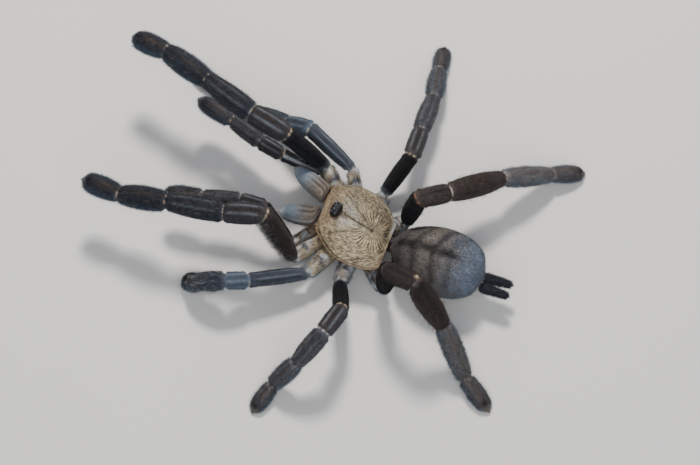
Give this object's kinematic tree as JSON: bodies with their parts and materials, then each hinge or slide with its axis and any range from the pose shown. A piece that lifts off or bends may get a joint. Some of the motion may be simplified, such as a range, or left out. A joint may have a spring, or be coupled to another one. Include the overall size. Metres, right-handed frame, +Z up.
{
  "type": "tarantula",
  "caption": "Adult tarantula in an alert stance, tan shield, charcoal and blue-grey legs, front legs and palps raised, still model.",
  "frame": {"origin": "bottom centre of the bounding box, on the floor between the feet", "axes": "+Z up, head toward -Y, the spider's left side toward +X"},
  "size_m": [0.128, 0.1414, 0.0315],
  "materials": {
    "tan_hair": "short tan hair over a hard shield",
    "black_velvet": "short velvety black hair",
    "charcoal_hair": "bristly charcoal hair with a blue-violet sheen",
    "slate_hair": "short blue-grey hair",
    "horn": "polished dark fang",
    "gloss_black": "glossy black eye mound",
    "grey_brown_velvet": "grey-brown velvet with darker bars"
  },
  "bodies": {
    "root": {"carapace": "tan_hair", "ocular_tubercle": "gloss_black", "sternum": "charcoal_hair", "chelicera_left": "slate_hair", "fang_left": "horn", "chelicera_right": "slate_hair", "fang_right": "horn", "abdomen": "grey_brown_velvet", "pedicel": "charcoal_hair", "spinneret_left": "charcoal_hair", "spinneret_right": "charcoal_hair", "leg_1_left_coxa": "tan_hair", "leg_1_left_femur": "black_velvet", "leg_1_left_patella": "charcoal_hair", "leg_1_left_tibia": "charcoal_hair", "leg_1_left_foot": "charcoal_hair", "leg_1_right_coxa": "tan_hair", "leg_1_right_femur": "black_velvet", "leg_1_right_patella": "charcoal_hair", "leg_1_right_tibia": "charcoal_hair", "leg_1_right_foot": "charcoal_hair", "leg_2_left_coxa": "tan_hair", "leg_2_left_femur": "slate_hair", "leg_2_left_patella": "charcoal_hair", "leg_2_left_tibia": "charcoal_hair", "leg_2_left_foot": "charcoal_hair", "leg_2_right_coxa": "tan_hair", "leg_2_right_femur": "slate_hair", "leg_2_right_patella": "charcoal_hair", "leg_2_right_tibia": "charcoal_hair", "leg_2_right_foot": "charcoal_hair", "leg_3_left_coxa": "tan_hair", "leg_3_left_femur": "black_velvet", "leg_3_left_patella": "charcoal_hair", "leg_3_left_tibia": "charcoal_hair", "leg_3_left_foot": "charcoal_hair", "leg_3_right_coxa": "tan_hair", "leg_3_right_femur": "black_velvet", "leg_3_right_patella": "charcoal_hair", "leg_3_right_tibia": "charcoal_hair", "leg_3_right_foot": "charcoal_hair", "leg_4_left_coxa": "tan_hair", "leg_4_left_femur": "black_velvet", "leg_4_left_patella": "charcoal_hair", "leg_4_left_tibia": "charcoal_hair", "leg_4_left_foot": "charcoal_hair", "leg_4_right_coxa": "tan_hair", "leg_4_right_femur": "black_velvet", "leg_4_right_patella": "charcoal_hair", "leg_4_right_tibia": "charcoal_hair", "leg_4_right_foot": "charcoal_hair", "palp_left_coxa": "tan_hair", "palp_left_femur": "black_velvet", "palp_left_shin": "charcoal_hair", "palp_left_tarsus": "charcoal_hair", "palp_right_coxa": "tan_hair", "palp_right_femur": "black_velvet", "palp_right_shin": "charcoal_hair", "palp_right_tarsus": "charcoal_hair"}
  },
  "joints": []
}
